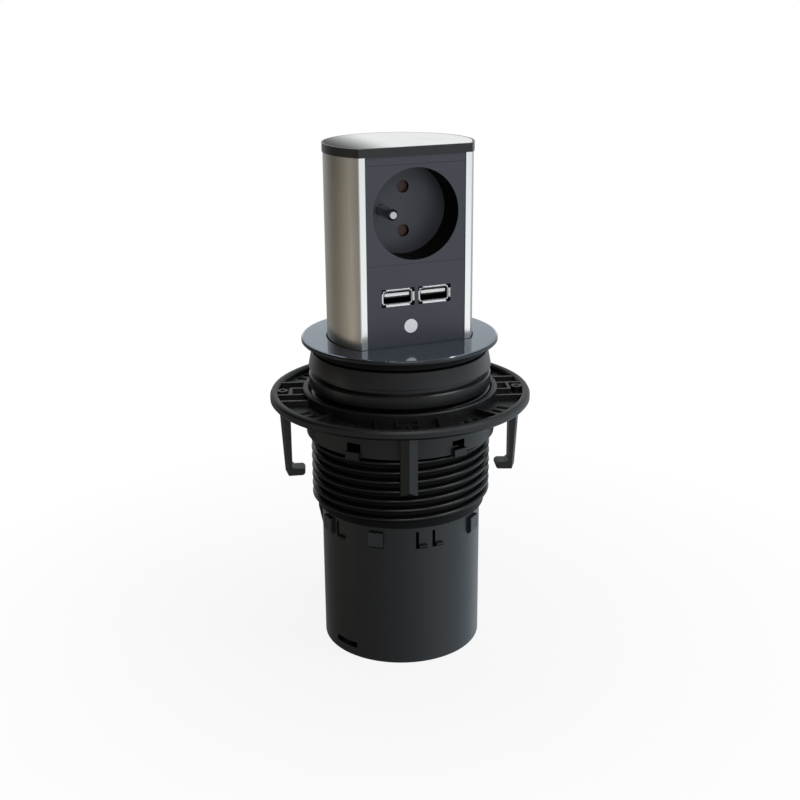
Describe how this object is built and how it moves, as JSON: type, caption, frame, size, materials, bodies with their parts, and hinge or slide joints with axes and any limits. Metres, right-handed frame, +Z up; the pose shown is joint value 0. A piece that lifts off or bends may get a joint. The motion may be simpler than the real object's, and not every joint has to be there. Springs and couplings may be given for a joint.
{
  "type": "in-desk power module",
  "caption": "Pull-up desk socket tower with an earthed outlet and charging ports, sliding in a threaded sleeve that a hooked ring nut clamps under the desk.",
  "frame": {"origin": "centre of the lower tube's end, where the module stands; the tower's axis is Z", "axes": "+Z up along the tower, -Y out of the socket's face, +X to the right of the face as it is looked at"},
  "size_m": [0.1178, 0.1178, 0.2316],
  "materials": {
    "steel_plate": "brushed",
    "steel": "satin",
    "port_steel": "bright",
    "alloy": "satin anodised",
    "contact_brass": "plain",
    "pin_nickel": "nickel plated",
    "face_plastic": "fine texture",
    "inner_plastic": "plain",
    "shutter_plastic": "plain",
    "pale_plastic": "plain",
    "cap_plastic": "fine texture",
    "ring_plastic": "polished",
    "body_plastic": "satin moulded",
    "tube_plastic": "satin moulded",
    "board": "lacquered laminate",
    "core": "wound tape",
    "sleeve_film": "shrink film",
    "pad_rubber": "plain"
  },
  "bodies": {
    "housing": {"desk_ring": "ring_plastic", "guide_pads": "pad_rubber", "sleeve": "body_plastic", "ring_nut": "body_plastic", "lower_tube": "tube_plastic", "end_cap": "cap_plastic", "cable_bush": "pad_rubber"},
    "tower": {"cap_plate": "steel_plate", "top_cap": "cap_plastic", "cap_screws": "steel", "profile": "alloy", "head_strip": "face_plastic", "socket_front": "face_plastic", "socket_base": "inner_plastic", "contact_line": "contact_brass", "contact_neutral": "contact_brass", "earth_pin": "pin_nickel", "shutter_spring": "steel", "usb_panel": "face_plastic", "usb_shell_left": "port_steel", "usb_shell_right": "port_steel", "usb_tongue_left": "pale_plastic", "usb_tongue_right": "pale_plastic", "usb_board": "board", "transformer": "core", "capacitor": "sleeve_film", "board_screws": "steel", "terminal_block": "pale_plastic", "terminal_screws": "steel", "tower_foot": "cap_plastic", "foot_screws": "steel"},
    "shutter": {"shutter": "shutter_plastic"}
  },
  "joints": [
    {"name": "tower_push_down", "type": "slide", "parent": "housing", "child": "tower", "axis": [0, 0, -1], "range_m": [0, 0.085]},
    {"name": "shutter_slide", "type": "slide", "parent": "tower", "child": "shutter", "axis": [1, 0, 0], "range_m": [0, 0.006], "stiffness_N_per_m": 60, "springref_m": -0.002, "deforming": ["shutter_spring"]}
  ]
}
